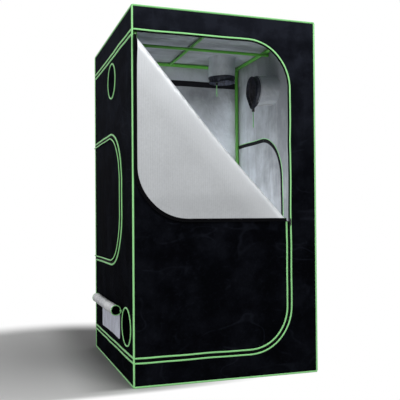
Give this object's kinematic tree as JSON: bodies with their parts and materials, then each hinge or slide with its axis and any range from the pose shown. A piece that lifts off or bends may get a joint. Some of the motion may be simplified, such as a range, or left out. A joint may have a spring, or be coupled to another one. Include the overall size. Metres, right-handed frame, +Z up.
{
  "type": "indoor grow tent",
  "caption": "Square indoor grow tent: tube frame in a zipped black cover with silver lining, green piping, D-shaped doors, drawstring duct ports and a floor tray.",
  "frame": {"origin": "middle of the tent's underside, on the bottom face of the floor fabric", "axes": "+Z up, -Y towards the front door, +X to the right seen from the front"},
  "size_m": [1.1433, 1.1094, 2.001],
  "materials": {
    "canvas": "coarse black woven polyester",
    "lining": "silver reflective film on fabric",
    "piping": "light green piping and cord",
    "steel": "green powder coat",
    "mesh": "fine pale mesh",
    "plastic": "black moulded plastic",
    "slider": "black enamelled zip slider",
    "tray": "black waterproof sheet"
  },
  "bodies": {
    "tent": {"bar_bottom_front": "steel", "bar_bottom_left": "steel", "bar_bottom_rear": "steel", "bar_bottom_right": "steel", "bar_top_front": "steel", "bar_top_left": "steel", "bar_top_rear": "steel", "bar_top_right": "steel", "corner_bottom_front_left": "steel", "corner_bottom_front_right": "steel", "corner_bottom_rear_left": "steel", "corner_bottom_rear_right": "steel", "corner_top_front_left": "steel", "corner_top_front_right": "steel", "corner_top_rear_left": "steel", "corner_top_rear_right": "steel", "post_front_left": "steel", "post_front_right": "steel", "post_rear_left": "steel", "post_rear_right": "steel", "floor_panel": "canvas", "roof_panel": "canvas", "front_surround": "canvas", "rear_surround": "canvas", "left_wall": "canvas", "right_wall": "canvas", "piping_bottom": "piping", "piping_top": "piping", "piping_front_left": "piping", "piping_front_right": "piping", "piping_rear_left": "piping", "piping_rear_right": "piping", "port_left_lower": "lining", "port_left_upper": "lining", "port_right_upper": "lining", "port_roof": "lining", "drawcord_left_lower": "piping", "drawcord_left_upper": "piping", "drawcord_right_upper": "piping", "drawcord_roof": "piping", "vent_mesh": "mesh"},
    "front_door": {"door_panel": "canvas"},
    "front_flap": {"door_flap": "lining"},
    "rear_door": {"rear_door": "canvas"},
    "left_window": {"left_window": "canvas"},
    "right_window": {"right_window": "canvas"},
    "vent_roll": {"vent_flap": "lining"},
    "bar_front_rear": {"crossbar_front_rear": "steel"},
    "bar_left_right": {"crossbar_left_right": "steel"},
    "tray": {"floor_tray": "tray"},
    "front_slider": {"zip_slider_front": "slider"},
    "front_tab": {"zip_tab_front": "slider"},
    "rear_slider": {"zip_slider_rear": "slider"},
    "left_slider": {"zip_slider_left": "slider"},
    "right_slider": {"zip_slider_right": "slider"},
    "lock_left_lower": {"cord_lock_left_lower": "plastic"},
    "lock_left_upper": {"cord_lock_left_upper": "plastic"},
    "lock_right_upper": {"cord_lock_right_upper": "plastic"},
    "lock_roof": {"cord_lock_roof": "plastic"}
  },
  "joints": [
    {"name": "front_door_hinge", "type": "hinge", "parent": "tent", "child": "front_door", "pos_m": [-0.536, -0.536, 1], "axis": [0, 0, -1], "range_deg": [0, 180]},
    {"name": "flap_fold", "type": "hinge", "parent": "front_door", "child": "front_flap", "pos_m": [-0.5317, -0.5405, 1.857], "axis": [-0.7071, 0, 0.7071], "range_deg": [0, 180]},
    {"name": "rear_door_hinge", "type": "hinge", "parent": "tent", "child": "rear_door", "pos_m": [0.536, 0.536, 1], "axis": [0, 0, -1], "range_deg": [0, 180]},
    {"name": "left_window_hinge", "type": "hinge", "parent": "tent", "child": "left_window", "pos_m": [-0.536, 0.536, 1], "axis": [0, 0, -1], "range_deg": [0, 180]},
    {"name": "right_window_hinge", "type": "hinge", "parent": "tent", "child": "right_window", "pos_m": [0.536, 0.536, 1], "axis": [0, 0, 1], "range_deg": [0, 180]},
    {"name": "vent_flap_hem", "type": "hinge", "parent": "tent", "child": "vent_roll", "pos_m": [-0.5378, 0.0525, 0.4035], "axis": [0, 1, 0], "range_deg": [0, 80]},
    {"name": "bar_front_rear_slide", "type": "slide", "parent": "tent", "child": "bar_front_rear", "axis": [1, 0, 0], "range_m": [-0.44, 0.2]},
    {"name": "bar_left_right_slide", "type": "slide", "parent": "tent", "child": "bar_left_right", "axis": [0, 1, 0], "range_m": [-0.47, 0.16]},
    {"name": "tray_lift", "type": "slide", "parent": "tent", "child": "tray", "axis": [0, 0, 1], "range_m": [0, 0.05]},
    {"name": "front_zip", "type": "slide", "parent": "tent", "child": "front_slider", "axis": [0, 0, -1], "range_m": [0, 0.44]},
    {"name": "front_tab_hang", "type": "hinge", "parent": "front_slider", "child": "front_tab", "pos_m": [0.3705, -0.54725, 0.872], "axis": [-1, 0, 0], "range_deg": [0, 150]},
    {"name": "rear_zip", "type": "slide", "parent": "tent", "child": "rear_slider", "axis": [-1, 0, 0], "range_m": [0, 0.6]},
    {"name": "left_window_zip", "type": "slide", "parent": "tent", "child": "left_slider", "axis": [0, -1, 0], "range_m": [0, 0.45]},
    {"name": "right_window_zip", "type": "slide", "parent": "tent", "child": "right_slider", "axis": [0, -1, 0], "range_m": [0, 0.35]},
    {"name": "lock_left_lower_slide", "type": "slide", "parent": "tent", "child": "lock_left_lower", "axis": [0, 0, -1], "range_m": [0, 0.025]},
    {"name": "lock_left_upper_slide", "type": "slide", "parent": "tent", "child": "lock_left_upper", "axis": [0, 0, -1], "range_m": [0, 0.06]},
    {"name": "lock_right_upper_slide", "type": "slide", "parent": "tent", "child": "lock_right_upper", "axis": [0, 0, -1], "range_m": [0, 0.06]},
    {"name": "lock_roof_slide", "type": "slide", "parent": "tent", "child": "lock_roof", "axis": [0, 0, -1], "range_m": [0, 0.04]}
  ]
}
